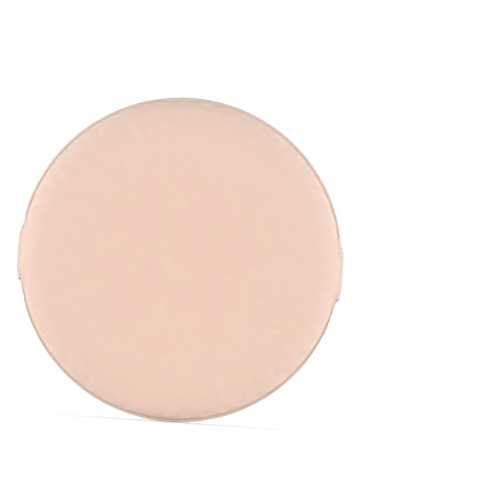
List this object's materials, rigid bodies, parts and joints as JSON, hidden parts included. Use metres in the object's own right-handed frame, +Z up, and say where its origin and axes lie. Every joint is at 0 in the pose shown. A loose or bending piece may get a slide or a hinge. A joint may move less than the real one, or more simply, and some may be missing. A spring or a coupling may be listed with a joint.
{
  "type": "cushion puff",
  "caption": "Round padded applicator puff with a soft domed face, a padded fabric back, a welded rim and a satin finger ribbon across the back.",
  "frame": {"origin": "middle of the back cover, on its outer face, where the fingers lie under the ribbon", "axes": "+Y is the disc's axis and points out of the back, X runs along the ribbon, +Z is up; the face looks to -Y"},
  "size_m": [0.0552, 0.0092, 0.055],
  "materials": {
    "face_skin": "fine-pored soft matte, beige",
    "scrim": "plain knitted base cloth",
    "foam": "open-cell foam, cream",
    "film": "thin clear film",
    "back_cover": "fine smooth cloth, pale lilac",
    "rim_weld": "pressed and fused edge, tan in front and pale lilac behind",
    "ribbon": "satin weave, grey lilac",
    "selvedge_thread": "looped edge thread, pale"
  },
  "bodies": {
    "puff": {"face_skin": "face_skin", "skin_scrim": "scrim", "foam_core": "foam", "barrier_film": "film", "back_pad": "foam", "back_cover": "back_cover", "rim_weld_upper": "rim_weld", "rim_weld_lower": "rim_weld", "ribbon_end_right": "ribbon", "ribbon_end_left": "ribbon"},
    "ribbon": {"ribbon_band": "ribbon", "ribbon_selvedge_upper": "selvedge_thread", "ribbon_selvedge_lower": "selvedge_thread"}
  },
  "joints": [
    {"name": "ribbon_lift", "type": "slide", "parent": "puff", "child": "ribbon", "axis": [0, 1, 0], "range_m": [0, 0.006], "stiffness_N_per_m": 2}
  ]
}
